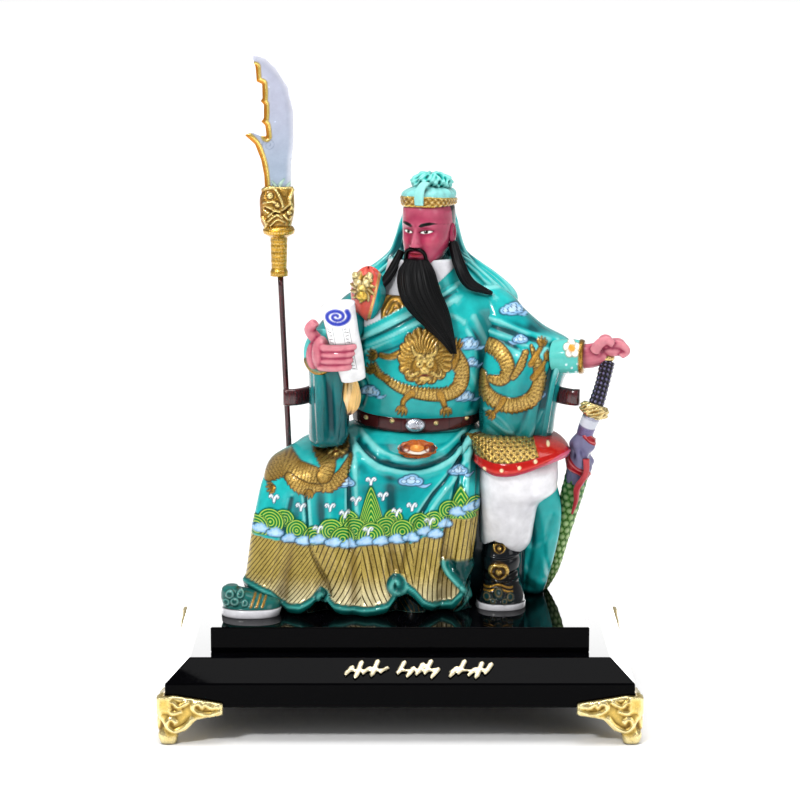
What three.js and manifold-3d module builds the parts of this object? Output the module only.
// A painted seated general with beard, robe and sword, his halberd beside him, on a footed lacquered base.
// Millimetres, +Z up, the viewer stands at -Y. The origin is on the ground under the middle of the base.
import * as THREE from "three";
import { mergeVertices } from "three/addons/utils/BufferGeometryUtils.js";
import Module from "manifold-3d";

const wasm = await Module();
wasm.setup();

// Driving dimensions of the base
const GAP = 0.3;
const BOARD = { halfWide: 202.5, halfDeep: 155, bottom: 31.5, edge: 52.5, top: 71, chamfer: 20 };
const SLOPE = Math.atan2(BOARD.chamfer, BOARD.top - BOARD.edge);
const STEP = { halfWide: 165, halfDeep: 118, height: 22, ease: 1 };
const FLOOR = BOARD.top + GAP + STEP.height + GAP;
const FOOT = { height: 43, wing: 50, wingDeep: 6, toeOut: 7 };
const STROKES = { thick: 2.4, wide: 4, low: 3 };
// Each group of strokes: its middle, and each slanted stroke's x, its low end and its high end
const STROKE_GROUPS = [
  ["left", -30, [[-18, 4, 14], [-10, 1, 19], [-3, 5, 13], [4, 3, 20], [12, 6, 13]]],
  ["middle", 14, [[-17, 5, 19], [-9, 2, 13], [-1, 4, 17], [6, 5, 20], [12, 1, 12]]],
  ["right", 60, [[-18, 2, 13], [-11, 5, 20], [-2, 3, 12], [4, 1, 18], [12, 5, 17]]],
];

// Driving dimensions of the chair and of the weapons
const CHAIR = { middle: 30, half: 90, front: 6, back: 94, seat: 203, board: 12, lip: 11 };
const RAIL = { height: 281, rise: 4, halfThick: 4.5, halfHigh: 7.5, shortRight: 4 };
const SHAFT = { radius: 2.6, foot: [-95.8, 30], head: [-108, 30], top: 382 };
const BLADE_THICK = 3.6;

const FINISH = {
  lacquer: { color: 0x0b0b0d, roughness: 0.1, metalness: 0 },
  gilt: { color: 0xe2bd55, roughness: 0.32, metalness: 1 },
  glaze: { color: 0x1fa79b, roughness: 0.22, metalness: 0 },
  stained: { color: 0x4a1218, roughness: 0.3, metalness: 0 },
  bright: { color: 0xc9cddd, roughness: 0.28, metalness: 1 },
  scabbard: { color: 0x2f6b34, roughness: 0.35, metalness: 0 },
};

// Smooth value through evenly spaced keys, for t from 0 to 1.
function through(keys, t) {
  const x = Math.min(Math.max(t, 0), 1) * (keys.length - 1);
  const i = Math.min(Math.floor(x), keys.length - 2);
  const f = x - i;
  const [a, b, c, d] = [i - 1, i, i + 1, i + 2].map((j) => keys[Math.min(Math.max(j, 0), keys.length - 1)]);
  return 0.5 * (2 * b + (c - a) * f + (2 * a - 5 * b + 4 * c - d) * f * f + (3 * b - a - 3 * c + d) * f ** 3);
}

// 0 below a, 1 above b, smooth between.
function ease(a, b, x) {
  const t = Math.min(Math.max((x - a) / (b - a), 0), 1);
  return t * t * (3 - 2 * t);
}

// A soft bump that is 1 at the middle and fades out over the width.
const bump = (x, middle, width) => Math.exp(-(((x - middle) / width) ** 2));

// A unit point of a rounded box section: round 2 is an ellipse, Infinity a rectangle.
function sectionPoint(angle, round) {
  const shaped = (value) => (Math.abs(value) < 1e-9 ? 0 : Math.sign(value) * Math.abs(value) ** (2 / round));
  return [shaped(Math.cos(angle)), shaped(Math.sin(angle))];
}

// A closed three.js geometry as a solid that can be joined and cut.
function solid(geometry) {
  const bare = geometry.clone();
  bare.deleteAttribute("normal");
  bare.deleteAttribute("uv");
  const merged = mergeVertices(bare, 1e-3);
  const mesh = new wasm.Mesh({
    numProp: 3,
    vertProperties: new Float32Array(merged.attributes.position.array),
    triVerts: new Uint32Array(merged.index.array),
  });
  const made = new wasm.Manifold(mesh);
  if (made.volume() >= 0) return made;
  const turned = mesh.triVerts.map((_, i, all) => all[i - (i % 3) + [0, 2, 1][i % 3]]);
  const { vertProperties } = mesh;
  return new wasm.Manifold(new wasm.Mesh({ numProp: 3, vertProperties, triVerts: turned }));
}

// Turns a capped cylinder into a closed skin: place(angle, share along, share out) gives each point.
function closedSkin(around, along, place, start = 0) {
  const geometry = new THREE.CylinderGeometry(1, 1, 1, around, along);
  const at = geometry.getAttribute("position");
  const step = (Math.PI * 2) / around;
  for (let i = 0; i < at.count; i++) {
    const [x, y, z] = [at.getX(i), at.getY(i), at.getZ(i)];
    const out = Math.hypot(x, z) < 0.5 ? 0 : 1;
    const angle = start - Math.round(Math.atan2(x, z) / step) * step;
    at.setXYZ(i, ...place(angle, Math.round((y + 0.5) * along) / along, out));
  }
  return solid(geometry);
}

// A skin over level sections. Each level is [height, left, right, front, back, roundness].
// A dense front has its columns closer together towards -Y.
function levelled(levels, around, along, { reshape = (point) => point, grow = 0, dense = 0 } = {}) {
  const columns = [0, 1, 2, 3, 4, 5].map((j) => levels.map((level) => level[j]));
  return closedSkin(around, along, (angle, t, out) => {
    const [z, left, right, front, back, round] = columns.map((column) => through(column, t));
    const [c, s] = sectionPoint(angle - dense * Math.cos(angle), round).map((part) => part * out);
    const past = t < 0.001 ? -grow : t > 0.999 ? grow : 0;
    const x = (left + right) / 2 + c * ((right - left) / 2 + grow);
    const y = (front + back) / 2 + s * ((back - front) / 2 + grow);
    return reshape([x, y, z + past], [c, s]);
  });
}

// A tube along stations [x, y, z, half width, half depth]; the width lies across the path and the reference.
function swept(stations, reference, around, along, { round = 2, grow = 0 } = {}) {
  const curve = new THREE.CatmullRomCurve3(stations.map(([x, y, z]) => new THREE.Vector3(x, y, z)));
  const fixed = new THREE.Vector3(...reference);
  const [widths, depths] = [3, 4].map((j) => stations.map((station) => station[j]));
  return closedSkin(around, along, (angle, t, out) => {
    const tangent = curve.getTangent(t);
    const side = new THREE.Vector3().crossVectors(tangent, fixed).normalize();
    const normal = new THREE.Vector3().crossVectors(side, tangent);
    const [c, s] = sectionPoint(angle, round);
    const past = t < 0.001 ? -grow : t > 0.999 ? grow : 0;
    const at = curve.getPoint(t).addScaledVector(tangent, past);
    at.addScaledVector(side, (through(widths, t) + grow) * c * out);
    at.addScaledVector(normal, (through(depths, t) + grow) * s * out);
    return at.toArray();
  });
}

// A ball stretched to three radii at a place.
function ball([x, y, z], [rx, ry, rz], across, down) {
  return solid(new THREE.SphereGeometry(1, across, down).scale(rx, ry, rz).translate(x, y, z));
}

// A box between two corners.
function block([x0, y0, z0], [x1, y1, z1]) {
  const box = new THREE.BoxGeometry(x1 - x0, y1 - y0, z1 - z0);
  return solid(box.translate((x0 + x1) / 2, (y0 + y1) / 2, (z0 + z1) / 2));
}

// A flat outline in X and Z, made thick along Y about the given depth.
function plate(points, middle, thick) {
  const outline = new THREE.Shape(points.map(([x, z]) => new THREE.Vector2(x, z)));
  const geometry = new THREE.ExtrudeGeometry(outline, { depth: thick, bevelEnabled: false });
  return solid(geometry.rotateX(Math.PI / 2).translate(0, middle + thick / 2, 0));
}

// A shape turned about the vertical through a place; the profile is [radius, height].
function turnedAbout(x, y, profile, around) {
  const points = profile.map(([radius, z]) => new THREE.Vector2(radius, z));
  return solid(new THREE.LatheGeometry(points, around).rotateX(Math.PI / 2).translate(x, y, 0));
}

const joined = (parts) => parts.reduce((whole, part) => whole.add(part));
const cutBy = (whole, cutters) => cutters.reduce((left, cutter) => left.subtract(cutter), whole);

// Largest body of a solid, so that slivers left by a cut are dropped.
function mainBody(whole) {
  return whole.decompose().reduce((best, body) => (body.volume() > best.volume() ? body : best));
}

// Everything below a height, as a cutter.
const below = (height) => block([-300, -300, height - 100], [300, 300, height]);

// A rectangular board with level insets [height, inset], four corners and flat faces.
function slab(halfWide, halfDeep, insets) {
  return closedSkin(4, insets.length - 1, (angle, t, out) => {
    const [z, inset] = insets[Math.round(t * (insets.length - 1))];
    const [c, s] = sectionPoint(angle, Infinity);
    return [out * c * (halfWide - inset), out * s * (halfDeep - inset), z];
  }, Math.PI / 4);
}

// The lower lacquered board, with a broad chamfer all round its top.
function lowerBoard(grow = 0) {
  const { halfWide, halfDeep, bottom, edge, top, chamfer } = BOARD;
  const insets = [[bottom - grow, 1], [bottom + 1.5, 0], [edge, 0], [top, chamfer]];
  return slab(halfWide + grow, halfDeep + grow, insets);
}

// The upper lacquered board, with an eased top rim.
function upperBoard() {
  const low = BOARD.top + GAP;
  const high = low + STEP.height;
  return slab(STEP.halfWide, STEP.halfDeep, [[low, 0], [high - STEP.ease, 0], [high, STEP.ease]]);
}

// One corner foot: a leg that ends in an outward curl, with a wing along each side of the board.
function foot(sideX, sideY) {
  const [x, y] = [BOARD.halfWide, BOARD.halfDeep];
  const leg = swept([
    [x - 12, y - 12, 34, 13, 13], [x - 9, y - 9, 25, 11, 11], [x - 5, y - 5, 14, 8, 9], [x - 3, y - 3, 6.5, 8, 10],
    [x - 3, y - 3, 0, 7, 9],
  ], [-1, 1, 0], 8, 5, { round: 2.2 });
  const curl = swept([
    [x - 6, y + 4, 7.5, 5, 5], [x - 0.7, y - 0.7, 7.5, 7.2, 7.2], [x + 4, y - 6, 7.5, 5, 5],
  ], [0, 0, 1], 8, 2);
  const wing = [
    [x - FOOT.wing, 26], [x - FOOT.wing * 0.55, 22], [x - 18, 12], [x - 4, 8], [x + FOOT.toeOut, 30],
    [x + FOOT.toeOut, FOOT.height - 1], [x - 8, FOOT.height], [x - FOOT.wing, 36],
  ];
  const along = plate(wing, y + FOOT.toeOut - FOOT.wingDeep, FOOT.wingDeep * 2);
  const side = along.transform([0, 1, 0, 0, 1, 0, 0, 0, 0, 0, 1, 0, x - y, y - x, 0, 1]);
  const board = lowerBoard(GAP).add(block([-x, -y, 32], [x, y, 90]));
  const made = mainBody(cutBy(joined([leg, curl, along, side]), [board, below(0)]));
  return made.transform([sideX, 0, 0, 0, 0, sideY, 0, 0, 0, 0, 1, 0, 0, 0, 0, 1]);
}

// Raised strokes on the front chamfer: slanted marks on a bar, with no reading.
function inscription(middle, slants) {
  const { thick, wide, low } = STROKES;
  const mark = (x, from, to, lean) => plate([
    [middle + x, from], [middle + x + wide, from], [middle + x + wide + lean, to], [middle + x + lean, to],
  ], -thick / 2, thick);
  const bar = (from, to, z) => block([middle + from, -thick, z], [middle + to, 0, z + wide - 0.5]);
  const strokes = [bar(-18, 18, 8), ...slants.map(([x, from, to]) => mark(x, from, to, 6))];
  const rise = low / Math.tan(SLOPE);
  const lean = new THREE.Matrix4().makeRotationX(-SLOPE);
  lean.setPosition(0, -BOARD.halfDeep + low - 2 * GAP, BOARD.edge + rise);
  return joined(strokes).transform(lean.elements);
}

// The chair: a boxed seat under a board, turned-out posts, a horseshoe rail and a back panel.
function chair(grow = 0) {
  const { middle, half, front, back, seat, board, lip } = CHAIR;
  const box = (z, out) => [z, middle - half - out, middle + half + out, front - out, back + Math.min(out, 6), 9];
  const arm = [[-134, -29], [-122, -27], [-110, -10], [-104, 20], [-93, 58], [-56, 90]];
  const route = [...arm, [0, 99], ...arm.map(([x, y]) => [-x, y]).reverse()];
  route[route.length - 1][0] -= RAIL.shortRight;
  const rail = route.map(([x, y]) => [
    middle + x, y, RAIL.height + RAIL.rise * ease(0, 90, y), RAIL.halfThick, RAIL.halfHigh,
  ]);
  const post = (side, y, from, to) => swept([
    [middle + side * from, y, seat - 4, 4, 4], [middle + side * ((from + to) / 2 - 1), y, seat + 30, 3.4, 3.4],
    [middle + side * to, y, RAIL.height, 4, 4],
  ], [0, 1, 0], 5, 2, { grow });
  const panel = [
    [seat - 3, middle - 32, middle + 32, 86, 92, 8], [RAIL.height, middle - 36, middle + 36, 91, 98, 8],
  ];
  const parts = [
    levelled([box(FLOOR, 0), box(seat - board, 0)], 12, 1, { grow }),
    levelled([box(seat - board - 2, lip - 3), box(seat - 3, lip), box(seat, lip - 2)], 12, 2, { grow }),
    swept(rail, [0, 0, 1], 6, 16, { round: 3, grow }), levelled(panel, 12, 2, { grow }),
  ];
  for (const side of [-1, 1]) {
    parts.push(post(side, 8, 96, 106.5), post(side, 40, 96, 98.5), post(side, 84, 66, 66));
  }
  return joined(parts);
}

// The robe below the belt: it spreads from the waist over the knees and falls to the floor.
const LAP = 226;
const SKIRT = [
  [78, -136, 59, -70, -14, 2.6], [84, -143, 64, -78, -10, 2.6], [99, -141, 62, -76, -9, 2.6],
  [131, -137, 64, -70, -8, 2.7], [167, -132, 69, -66, -6, 2.8], [197, -126, 72, -62, -2, 2.8],
  [210, -122, 73, -61, 28, 2.8], [219, -119, 74, -59, 54, 2.8], [227, -112, 75, -54, 58, 2.6],
  [234, -97, 75, -44, 58, 2.5], [243, -68, 75, -32, 58, 2.3], [253, -39, 67, -20, 52, 2],
];
// Folds that run from the lap to the hem: place at the lap, place at the hem, width, how far it stands out.
const SKIRT_FOLDS = [
  [-84, -108, 6, -8], [-98, -124, 9, 4], [-76, -86, 8, 5], [-74, -66, 6, -8], [-58, -48, 8, 4], [-43, -42, 5, -4],
  [-37, -30, 5, 4], [-20, -14, 7, 4], [-9, -3, 6, -7], [14, 14, 12, 4], [52, 38, 7, -9], [64, 52, 6, 6],
];
const HEM_VALLEYS = [-107, -66, -3, 38];

function shapeSkirt([x, y, z], [c, s]) {
  const front = ease(0.05, 0.55, -s);
  const fallen = Math.min(Math.max((LAP - z) / (LAP - FLOOR), 0), 1);
  const betweenLegs = -9 * bump(x, 0, 42) * ease(100, 148, z) * (1 - ease(222, 238, z));
  let out = betweenLegs + 6 * bump(x, -88, 26) * bump(z, 214, 22);
  for (const [lap, hem, width, push] of SKIRT_FOLDS) {
    out += push * (0.45 + 0.75 * fallen) * bump(x, lap + (hem - lap) * fallen, width * (0.8 + 0.5 * fallen));
  }
  out *= front * (1 - ease(234, 246, z));
  const low = 1 - ease(92, 124, z);
  const lift = HEM_VALLEYS.reduce((sum, valley) => sum + bump(x, valley, 11), 0) * low * front * 20;
  const behind = 1 - 0.34 * ease(-12, 36, y) * (1 - ease(227, 238, z));
  return [(x + 20) * behind - 20 + c * out * 0.4, y - out, z + lift];
}

// The body of the robe, from inside the lap to the shoulders.
const TORSO = [
  [224, -44, 69, -20, 54, 2.2], [243, -44, 71, -24, 56, 2.2], [254, -41, 70, -25, 56, 2.2],
  [268, -42, 77, -31, 58, 2.2], [289, -42, 86, -35, 60, 2.2], [311, -40, 92, -35, 60, 2.2],
  [333, -40, 97, -30, 60, 2.3], [353, -40, 98, -24, 58, 2.4], [367, -34, 94, -16, 54, 2.3],
  [377, -8, 70, -9, 46, 2.2], [385, 6, 50, -4, 36, 2],
];

// Two raised bands cross the chest from the far shoulder, and the cloth dips beside the arm.
function shapeTorso([x, y, z], [c, s]) {
  const front = ease(0.1, 0.7, -s);
  const lapel = 333 + (x + 34) * 0.54;
  const bands = (3.4 * bump(z, lapel, 5) + 2.6 * bump(z, lapel - 12, 4.5)) * ease(-40, -30, x);
  const dip = 4 * bump(x, 78, 9) * bump(z, 306, 50);
  return [x, y - front * (bands * (1 - ease(48, 62, x)) - dip), z];
}

function belt() {
  const level = (z, out) => [z, -41 - out, 71 + out, -26.5 - out, 57 + out, 2.2];
  const bands = [level(253.5, 0), level(255, 2), level(266, 2), level(267.5, 0)];
  const sag = ([x, y, z], [c, s]) => [x, y, z - 5 * ease(0.1, 0.9, -s) * bump(x, 15, 50)];
  return levelled(bands, 20, 3, { reshape: sag, dense: 0.3 });
}

// The sleeve on the scroll side hangs from the forearm in a deep bag.
const SCROLL_SLEEVE = [
  [238, -76, -53, -44, -14, 2.4], [244, -81, -47, -52, -4, 2.4], [267, -81, -45, -55, 4, 2.4],
  [293, -81, -46, -58, 12, 2.4], [311, -82, -45, -60, 20, 2.4], [325, -83, -40, -52, 28, 2.4],
  [336, -77, -32, -30, 36, 2.3], [350, -65, -26, -14, 40, 2.2], [365, -50, -20, -4, 40, 2.1], [373, -36, -18, 6, 32, 2],
];
const SCROLL_SLEEVE_FOLDS = [[-70, -72, 5, 3], [-62, -60, 5, -6], [-52, -48, 5, 4]];

// The sleeve on the sword side is broad, with long folds that fall from the arm.
const SWORD_SLEEVE = [
  [235, 76, 133, -20, 14, 2.4], [244, 72, 137, -30, 22, 2.4], [269, 70, 141, -35, 28, 2.4],
  [297, 68, 148, -37, 34, 2.4], [317, 70, 159, -35, 38, 2.4], [328, 70, 152, -29, 40, 2.3],
  [339, 70, 131, -21, 42, 2.3], [353, 68, 114, -15, 44, 2.2], [366, 66, 102, -7, 42, 2.1], [376, 62, 88, 4, 34, 2],
];
const SWORD_SLEEVE_FOLDS = [
  [98, 84, 5, -5], [106, 92, 5, 4], [116, 102, 5, -5], [124, 112, 5, 4], [134, 122, 4, -4], [142, 130, 4, 4],
];

// Folds down the front of a sleeve, from the arm at the high level to the low level.
function sleeveFolds(folds, high, low) {
  return ([x, y, z], [c, s]) => {
    const front = ease(0.05, 0.6, -s) * ease(high + 30, high - 10, z);
    const fallen = (high - z) / (high - low);
    const push = folds.map(([from, to, width, out]) => out * bump(x, from + (to - from) * fallen, width));
    return [x, y - front * push.reduce((sum, out) => sum + out), z];
  };
}

// The leg that shows: full breeches under an armour flap, and a boot.
const BREECHES = [
  [138, 78, 112, -29, 5, 2.2], [148, 72, 118, -39, 10, 2.3], [171, 71, 124, -48, 8, 2.4],
  [187, 71, 133, -55, 6, 2.5], [203, 71, 139, -61, 8, 2.5], [220, 71, 142, -64, 26, 2.5],
  [233, 67, 140, -54, 42, 2.4], [241, 58, 123, -38, 46, 2.2],
];
const BOOT = [
  [83, 70, 111, -57, -11, 2.3], [92, 68, 112, -60, -9, 2.3], [101, 70, 112, -58, -8, 2.3],
  [109, 72, 110, -50, -6, 2.2], [118, 74, 107, -41, -4, 2.2], [133, 73, 109, -38, -3, 2.2],
  [148, 76, 107, -34, -3, 2.2],
];
// The other foot shows only its curled toe beside the hem.
const SHOE = [
  [80, -153, -112, -86, -50, 2.3], [92, -157, -108, -88, -48, 2.3], [100, -157, -106, -86, -47, 2.3],
  [108, -159, -110, -82, -50, 2.3], [116, -158, -139, -78, -56, 2.2], [119, -154, -144, -73, -61, 2],
];
// The drape of the robe that hangs behind the boot, and the cloth between the legs.
const BETWEEN = [[80, 48, 112, -10, 20, 4], [200, 50, 116, -22, 20, 4]];
const TAIL = [
  [80, 108, 126, 9, 23, 2.4], [93, 104, 131, 3, 24, 2.4], [122, 105, 139, -5, 19, 2.4],
  [153, 108, 145, -12, 13, 2.4], [177, 111, 146, -17, 9, 2.4], [202, 101, 141, -22, 10, 2.4],
];
// The armour flap. Its heights are shares of the way from the lower edge to the top.
const FLAP_TOP = 246;
const FLAP = [
  [0, 67, 146, -69, 22, 2.5], [0.35, 66, 145, -66, 32, 2.5], [0.7, 62, 139, -56, 44, 2.4], [1, 56, 124, -40, 48, 2.2],
];

// The flap's lower edge sweeps up to its flared outer corner.
function shapeFlap([x, y, share]) {
  const edge = 218 + 13 * ease(90, 146, x) + 6 * ease(86, 66, x);
  const flare = 5 * ease(118, 146, x) * (1 - share);
  return [x + flare, y - flare * 0.5, edge + (FLAP_TOP - edge) * share + flare * 0.4];
}

// Head, cap and knot in their own frame: the face looks to -Y before it is turned.
const HEAD = { at: [26, 12], turn: -25 };
const SKULL = [
  [390, -6, 6, -23, -8, 2.2], [396, -11, 11, -29, 2, 2.2], [404, -16, 16, -29.5, 12, 2.3],
  [414, -19.5, 19.5, -28.5, 20, 2.3], [426, -21.5, 21.5, -28, 26, 2.2], [437, -22, 22, -28, 28, 2.2],
  [448, -21, 21, -27, 27, 2.2], [458, -14, 14, -18, 20, 2.1],
];
const CAP = [
  [445, -23.5, 23.5, -29.5, 29, 2.2], [456, -24, 24, -30, 30, 2.2], [462, -19, 19, -24, 25, 2.1],
  [467, -8, 8, -10, 13, 2],
];
const KNOT = [
  [461, -11, 11, -6, 16, 2], [466, -17, 17, -12, 22, 2], [472, -17.5, 17.5, -12, 22, 2], [477, -9, 9, -3, 14, 2],
];

// The cloth of the head hangs behind the ears and opens over the shoulders.
const VEIL = [
  [343, -36, 96, 20, 62, 2.5], [359, -43, 104, 12, 66, 2.5], [371, -41, 99, 10, 67, 2.5],
  [384, -33, 84, 16, 66, 2.4], [393, -20, 71, 20, 64, 2.4], [403, -9, 58, 23, 63, 2.3], [415, -4, 53, 25, 62, 2.3],
  [431, 0, 51, 24, 60, 2.2], [448, 6, 48, 20, 54, 2.1], [460, 14, 43, 22, 42, 2],
];
const BEARD = [
  [403, 6, 24, -22, -8, 2.1], [393, -1, 30, -31, -10, 2.1], [377, -1, 35, -38, -16, 2.1],
  [361, 7, 42, -43, -22, 2.1], [346, 22, 46, -46, -26, 2.1], [333, 36, 48.5, -45, -30, 2],
  [322, 45, 50, -41, -35, 2],
];
const COLLAR = [[364, -8, 62, -14, 44, 2.3], [380, -2, 57, -13, 42, 2.2], [399, 1, 52, -12, 36, 2.2]];

function head() {
  const turn = new THREE.Matrix4().makeRotationZ(THREE.MathUtils.degToRad(HEAD.turn));
  turn.setPosition(...HEAD.at, 0);
  const across = [0, 1, 0];
  const nose = swept([[0, -26, 431, 2.2, 2], [0, -30, 422, 3, 3], [0, -33, 415, 4.6, 3.4], [0, -28, 413, 4, 2]],
    across, 6, 3);
  const ears = [-1, 1].map((side) => ball([side * 22, 2, 424], [2.8, 5, 9.5], 6, 4));
  const crumple = ([x, y, z], [c, s]) => [x * (1 + 0.08 * Math.cos(6 * Math.atan2(s, c))), y, z];
  const pleats = ([x, y, z], [c, s]) => {
    const pleat = 2.2 * Math.cos(9 * Math.atan2(s, c)) * (1 - ease(405, 450, z));
    return [x + c * pleat, y + s * pleat, z];
  };
  const faced = [
    levelled(SKULL, 12, 6), levelled(CAP, 12, 3), levelled(KNOT, 12, 3, { reshape: crumple }), nose, ...ears,
  ].map((part) => part.transform(turn.elements));
  return joined([
    ...faced, levelled(COLLAR, 12, 2), levelled(VEIL, 18, 9, { reshape: pleats }), levelled(BEARD, 10, 6),
    swept([[47, 6, 415, 3, 3], [53, -5, 397, 5, 3.6], [62, -11, 381, 4.6, 3.4], [82, -5, 371, 1.4, 1.4]], across, 5, 4),
    swept([[1, -2, 409, 3, 3], [-7, -6, 392, 5, 3.6], [-16, -8, 379, 3.6, 3], [-22, -9, 372, 1.4, 1.4]], across, 5, 4),
  ]);
}

// A finger as a bent tube through its joints, thinner towards the tip.
function finger(joints, thick) {
  const stations = joints.map((joint, i) => [...joint, thick * (1 - 0.1 * i), thick * (1 - 0.1 * i)]);
  return swept(stations, [0.3, 0.5, 1], 4, 2);
}

// The hand that holds the scroll, its fingers wrapped round the front.
function scrollHand() {
  const palm = ball([-69, -58, 325], [9, 15, 16], 8, 5);
  const fingers = [0, 1, 2, 3].map((i) => {
    const z = 333.5 - 5.7 * i;
    return finger([[-70, -66, z - 2], [-60, -77, z - 1], [-46, -80, z], [-38 - 2 * i, -77, z + 1]], 3.3);
  });
  const thumb = finger([[-73, -54, 337], [-79, -55, 346], [-74, -58, 353]], 5.5);
  return joined([palm, thumb, ...fingers]);
}

// The hand that rests on the sword's pommel.
function swordHand() {
  const wrist = swept([[158, -25, 317, 11, 11], [171, -27, 318.5, 11, 10], [182, -29, 323, 10, 9]], [0, 1, 0], 8, 2);
  const palm = ball([187, -30, 329], [12, 12, 8], 8, 5);
  const fingers = [0, 1, 2, 3].map((i) => {
    const y = -38 + 5.4 * i;
    return finger([[188, y, 333], [197, y - 1, 332], [201, y - 1, 325], [198, y, 319]], 3.4);
  });
  const thumb = finger([[174, -38, 328], [180, -42, 336], [187, -41, 334]], 5);
  return joined([wrist, palm, thumb, ...fingers]);
}

const SCROLL = [
  [-41, -58, 303, 11, 7], [-45, -65, 324, 13, 8.5], [-50, -73, 347, 14, 9.5], [-54, -80, 371.5, 15, 10],
];

// Body, robe, head, hands, boots and scroll are one casting.
function figure() {
  const sleeves = [
    levelled(SCROLL_SLEEVE, 16, 7, { reshape: sleeveFolds(SCROLL_SLEEVE_FOLDS, 322, 238) }),
    levelled(SWORD_SLEEVE, 22, 7, { reshape: sleeveFolds(SWORD_SLEEVE_FOLDS, 323, 235), dense: 0.4 }),
    swept([[138, -18, 316, 15, 17], [152, -23, 317, 15.5, 17], [163, -25, 317, 14, 16]], [0, 1, 0], 10, 2),
    swept([[-66, -46, 324, 15, 18], [-70, -57, 327, 15.5, 20]], [0, 0, 1], 10, 1),
  ];
  const legs = [
    levelled(BREECHES, 12, 7), levelled(FLAP, 16, 3, { reshape: shapeFlap }), levelled(BOOT, 10, 6),
    levelled(SHOE, 10, 5), levelled(TAIL, 8, 5), levelled(BETWEEN, 8, 1),
  ];
  const robe = [
    levelled(SKIRT, 44, 11, { reshape: shapeSkirt, dense: 0.45 }),
    levelled(TORSO, 20, 8, { reshape: shapeTorso, dense: 0.3 }), belt(),
  ];
  const trim = [
    ball([-29, -6, 376], [15, 18, 18], 10, 6), ball([-46, -40, 285], [11, 12, 17], 8, 6),
    ball([17, -50, 238], [17, 7, 8], 8, 5), swept(SCROLL, [0, 1, 0], 12, 3),
  ];
  const whole = joined([...robe, ...sleeves, ...legs, head(), scrollHand(), swordHand(), ...trim]);
  return mainBody(cutBy(whole, [below(FLOOR), chair(GAP), sword(GAP), shaft(GAP)]));
}

// The sword stands on its tip: pommel, wrapped grip, guard, collars, a knotted ribbon and a curved scabbard.
const SWORD_LINE = [
  [184, -30, 313], [179, -37, 293.5], [172, -40, 271.5], [165, -34, 251], [161.5, -24, 228], [158.5, -13, 205],
  [152.5, 2, 175.5], [145.5, 14, 143], [139.5, 21, 114], [132, 25, 93],
];

function sword(grow = 0) {
  const columns = [0, 1, 2].map((j) => SWORD_LINE.map((point) => point[j]));
  const length = (stations, steps, round) => {
    const placed = stations.map(([t, wide, deep]) => [...columns.map((column) => through(column, t)), wide, deep]);
    return swept(placed, [0, 1, 0], 8, steps, { round, grow });
  };
  const whole = joined([
    ball([184, -30, 317], [6.2 + grow, 6.2 + grow, 4.5 + grow], 8, 4),
    length([[0, 6, 6], [0.1, 6.3, 6.3], [0.2, 6, 6]], 2, 2),
    length([[0.195, 12.6, 8.4], [0.225, 12.6, 8.4], [0.25, 11, 7]], 1, 2.6),
    length([[0.24, 8, 6], [0.3, 7.6, 5.8], [0.36, 7.4, 5.6]], 1, 2.2),
    length([[0.34, 6.5, 5.5], [0.38, 11, 8.5], [0.41, 9, 7.5], [0.46, 12.5, 9], [0.52, 10, 7.5], [0.57, 8.6, 6]], 6, 2),
    length([[0.5, 9.6, 6], [0.62, 9.2, 5.6], [0.75, 7.6, 5], [0.87, 5.6, 4], [1, 2.4, 2.4]], 5, 2.1),
  ]);
  return grow ? whole : mainBody(whole.subtract(below(FLOOR)));
}

// The halberd's blade in profile: a swept cutting edge, a scalloped back and a hook.
const BLADE_EDGE = [
  [-98, 458], [-98, 481], [-95.4, 505], [-95.5, 530], [-100, 552], [-111, 569], [-121, 578], [-132.5, 581.5],
];
const BLADE_BACK = [
  [-129, 570], [-128, 557], [-123.2, 555], [-123, 541.5], [-125, 540], [-121.7, 536.5], [-122, 524],
  [-124.4, 521.5], [-120.7, 518], [-119.6, 508],
];
const BLADE_HOOK = [
  [-125, 508.5], [-132, 511.4], [-139.3, 509.5], [-130, 501], [-124.6, 487], [-122, 473], [-121.2, 458],
];

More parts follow.
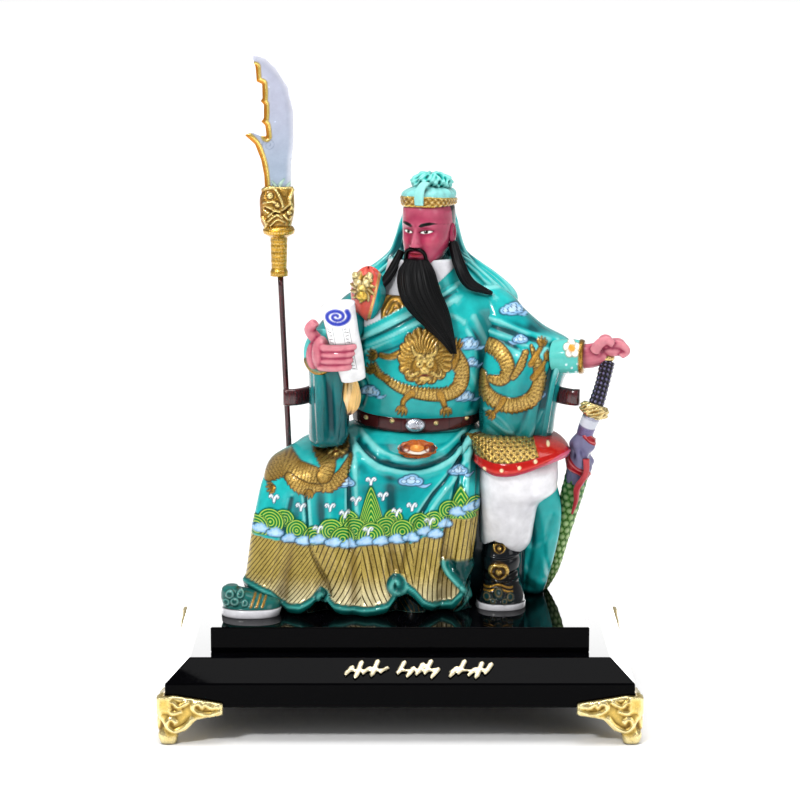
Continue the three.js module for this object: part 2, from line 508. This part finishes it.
// Blade, beast-head socket, disc and ferrule are one casting.
function halberdHead() {
  const [x, y] = SHAFT.head;
  const blade = plate([...BLADE_EDGE, ...BLADE_BACK, ...BLADE_HOOK], y, BLADE_THICK);
  const low = SHAFT.top + GAP;
  const ferrule = turnedAbout(x - 1.2, y, [
    [0, low], [8, low], [8, low + 4], [6.8, low + 7], [7.6, 417], [14, 421], [14.6, 424], [13, 427], [9, 429], [0, 430],
  ], 12);
  const ridges = ([px, py, z], [c, s]) => [px + c * 1.6 * Math.sin(z * 0.7), py + s, z];
  const beast = levelled([
    [423, -120, -99, y - 8, y + 8, 2.4], [431, -125, -97, y - 10, y + 10, 2.4], [441, -126, -95, y - 9, y + 9, 2.4],
    [453, -126, -95, y - 8, y + 8, 2.6], [463, -122, -96, y - 4, y + 4, 2.4],
  ], 10, 5, { reshape: ridges });
  return joined([blade, ferrule, beast]);
}

function shaft(grow = 0) {
  const radius = SHAFT.radius;
  const ends = [[...SHAFT.foot, FLOOR, radius, radius], [...SHAFT.head, SHAFT.top, radius, radius]];
  return swept(ends, [0, 1, 0], 8, 1, { grow });
}

// A named mesh in its own finish.
function mesh(name, part, finish) {
  const { vertProperties, triVerts } = part.getMesh();
  const geometry = new THREE.BufferGeometry();
  geometry.setAttribute("position", new THREE.BufferAttribute(vertProperties, 3));
  geometry.setIndex(new THREE.BufferAttribute(triVerts, 1));
  geometry.computeVertexNormals();
  const made = new THREE.Mesh(geometry, new THREE.MeshStandardMaterial(finish));
  made.name = name;
  return made;
}

const group = new THREE.Group();
group.add(mesh("base_board", lowerBoard(), FINISH.lacquer));
group.add(mesh("base_step", upperBoard(), FINISH.lacquer));
for (const [depth, sideY] of [["front", -1], ["back", 1]]) {
  for (const [hand, sideX] of [["left", -1], ["right", 1]]) {
    group.add(mesh(`foot_${depth}_${hand}`, foot(sideX, sideY), FINISH.gilt));
  }
}
for (const [place, middle, slants] of STROKE_GROUPS) {
  group.add(mesh(`inscription_${place}`, inscription(middle, slants), FINISH.gilt));
}
group.add(mesh("chair", chair(), FINISH.stained));
group.add(mesh("figure", figure(), FINISH.glaze));
group.add(mesh("sword", sword(), FINISH.scabbard));
group.add(mesh("halberd_shaft", shaft(), FINISH.stained));
group.add(mesh("halberd_blade", halberdHead(), FINISH.bright));

export default group;
